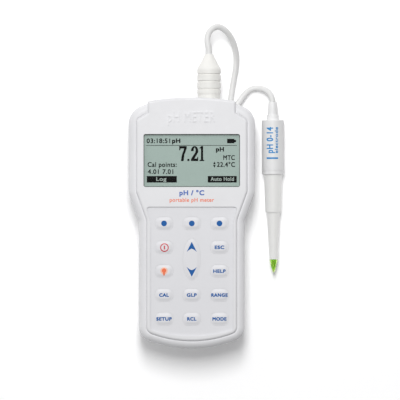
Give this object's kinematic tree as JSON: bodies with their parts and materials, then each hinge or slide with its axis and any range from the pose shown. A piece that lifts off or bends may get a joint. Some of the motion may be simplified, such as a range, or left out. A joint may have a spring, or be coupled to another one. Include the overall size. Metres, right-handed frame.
{
  "type": "ph meter",
  "caption": "Hand-held pH meter with a graphic display, rubber keys, a ribbed plug on its end and a conical-tipped probe on a pale cable.",
  "frame": {"origin": "middle of the meter's outline on the flat back face that it rests on", "axes": "+Z out of the display, +Y along the meter to the end with the probe socket, +X right"},
  "size_m": [0.1147, 0.2397, 0.0352],
  "materials": {
    "case_white": "fine satin moulding, pale grey white",
    "seal_rubber": "matt black elastomer",
    "screw_steel": "plain stainless",
    "window_clear": "clear acrylic",
    "lcd_glass": "grey green reflective liquid crystal",
    "backlight_white": "milky light guide",
    "inner_black": "black glass-filled plastic",
    "ribbon_amber": "flexible polyimide",
    "keypad_rubber": "soft pale grey white elastomer",
    "dome_metal": "sprung steel domes",
    "board_green": "solder-masked laminate",
    "tinplate": "tinned sheet",
    "component_mix": "ceramic and resin parts",
    "cell_jacket": "printed film over steel",
    "contact_metal": "plated contacts",
    "socket_metal": "nickel plated",
    "flap_rubber": "soft pale elastomer",
    "plug_white": "warm white moulding, softly glossy",
    "cable_white": "smooth pale grey jacket",
    "tie_black": "hook and loop strap",
    "probe_white": "white moulding",
    "probe_translucent": "milky translucent fluoropolymer",
    "probe_glass": "thin glass bulb with green gel behind",
    "electrode_glass": "glass tube with silver wire"
  },
  "bodies": {
    "meter": {"front_case": "case_white", "rear_case": "case_white", "case_gasket": "seal_rubber", "case_screws": "screw_steel", "display_window": "window_clear", "window_gasket": "seal_rubber", "lcd_panel": "lcd_glass", "lcd_backlight": "backlight_white", "lcd_bracket": "inner_black", "lcd_ribbon": "ribbon_amber", "keypad_mat": "keypad_rubber", "key_domes": "dome_metal", "circuit_board": "board_green", "circuit_board_screws": "screw_steel", "processor": "inner_black", "input_shield": "tinplate", "board_components": "component_mix", "buzzer": "inner_black", "cells": "cell_jacket", "cell_contacts": "contact_metal", "probe_socket": "socket_metal", "socket_seal": "seal_rubber", "socket_nut": "contact_metal", "socket_insert": "inner_black", "socket_contacts": "contact_metal", "usb_port": "socket_metal"},
    "plug": {"plug_collar": "plug_white", "plug_insert": "inner_black", "plug_pins": "contact_metal", "plug_grip": "plug_white", "cable_plug_run": "cable_white", "cable_coil": "cable_white", "cable_probe_run": "cable_white", "cable_tie": "tie_black", "probe_boot": "probe_white", "probe_collar": "probe_white", "probe_head": "probe_white", "probe_ring": "probe_white", "probe_body": "probe_translucent", "probe_tip": "probe_glass", "probe_electrode": "electrode_glass", "probe_board": "board_green"},
    "battery_cover": {"cell_cover": "case_white", "cell_cover_seal": "seal_rubber", "cell_cover_screws": "screw_steel"},
    "data_flap": {"usb_flap": "flap_rubber"},
    "arrow_rocker": {"key_arrows": "keypad_rubber"},
    "key_soft_left_cap": {"key_soft_left": "keypad_rubber"},
    "key_soft_middle_cap": {"key_soft_middle": "keypad_rubber"},
    "key_soft_right_cap": {"key_soft_right": "keypad_rubber"},
    "key_power_cap": {"key_power": "keypad_rubber"},
    "key_escape_cap": {"key_escape": "keypad_rubber"},
    "key_light_cap": {"key_light": "keypad_rubber"},
    "key_help_cap": {"key_help": "keypad_rubber"},
    "key_calibrate_cap": {"key_calibrate": "keypad_rubber"},
    "key_report_cap": {"key_report": "keypad_rubber"},
    "key_range_cap": {"key_range": "keypad_rubber"},
    "key_setup_cap": {"key_setup": "keypad_rubber"},
    "key_recall_cap": {"key_recall": "keypad_rubber"},
    "key_mode_cap": {"key_mode": "keypad_rubber"}
  },
  "joints": [
    {"name": "key_soft_left_press", "type": "slide", "parent": "meter", "child": "key_soft_left_cap", "axis": [0, 0, -1], "range_m": [0, 0.001], "stiffness_N_per_m": 1500},
    {"name": "key_soft_middle_press", "type": "slide", "parent": "meter", "child": "key_soft_middle_cap", "axis": [0, 0, -1], "range_m": [0, 0.001], "stiffness_N_per_m": 1500},
    {"name": "key_soft_right_press", "type": "slide", "parent": "meter", "child": "key_soft_right_cap", "axis": [0, 0, -1], "range_m": [0, 0.001], "stiffness_N_per_m": 1500},
    {"name": "key_power_press", "type": "slide", "parent": "meter", "child": "key_power_cap", "axis": [0, 0, -1], "range_m": [0, 0.001], "stiffness_N_per_m": 1500},
    {"name": "key_escape_press", "type": "slide", "parent": "meter", "child": "key_escape_cap", "axis": [0, 0, -1], "range_m": [0, 0.001], "stiffness_N_per_m": 1500},
    {"name": "key_light_press", "type": "slide", "parent": "meter", "child": "key_light_cap", "axis": [0, 0, -1], "range_m": [0, 0.001], "stiffness_N_per_m": 1500},
    {"name": "key_help_press", "type": "slide", "parent": "meter", "child": "key_help_cap", "axis": [0, 0, -1], "range_m": [0, 0.001], "stiffness_N_per_m": 1500},
    {"name": "key_calibrate_press", "type": "slide", "parent": "meter", "child": "key_calibrate_cap", "axis": [0, 0, -1], "range_m": [0, 0.001], "stiffness_N_per_m": 1500},
    {"name": "key_report_press", "type": "slide", "parent": "meter", "child": "key_report_cap", "axis": [0, 0, -1], "range_m": [0, 0.001], "stiffness_N_per_m": 1500},
    {"name": "key_range_press", "type": "slide", "parent": "meter", "child": "key_range_cap", "axis": [0, 0, -1], "range_m": [0, 0.001], "stiffness_N_per_m": 1500},
    {"name": "key_setup_press", "type": "slide", "parent": "meter", "child": "key_setup_cap", "axis": [0, 0, -1], "range_m": [0, 0.001], "stiffness_N_per_m": 1500},
    {"name": "key_recall_press", "type": "slide", "parent": "meter", "child": "key_recall_cap", "axis": [0, 0, -1], "range_m": [0, 0.001], "stiffness_N_per_m": 1500},
    {"name": "key_mode_press", "type": "slide", "parent": "meter", "child": "key_mode_cap", "axis": [0, 0, -1], "range_m": [0, 0.001], "stiffness_N_per_m": 1500},
    {"name": "arrow_rock", "type": "hinge", "parent": "meter", "child": "arrow_rocker", "pos_m": [0, -0.0267, 0.0338], "axis": [1, 0, 0], "range_deg": [-3.5, 3.5], "stiffness_Nm_per_rad": 0.12},
    {"name": "plug_pull", "type": "slide", "parent": "meter", "child": "plug", "axis": [0, 1, 0], "range_m": [0, 0.013]},
    {"name": "cover_lift", "type": "slide", "parent": "meter", "child": "battery_cover", "axis": [0, 0, -1], "range_m": [0, 0.01]},
    {"name": "flap_swing", "type": "hinge", "parent": "meter", "child": "data_flap", "pos_m": [-0.014, 0.0888, 0.022], "axis": [-1, 0, 0], "range_deg": [0, 100]}
  ]
}
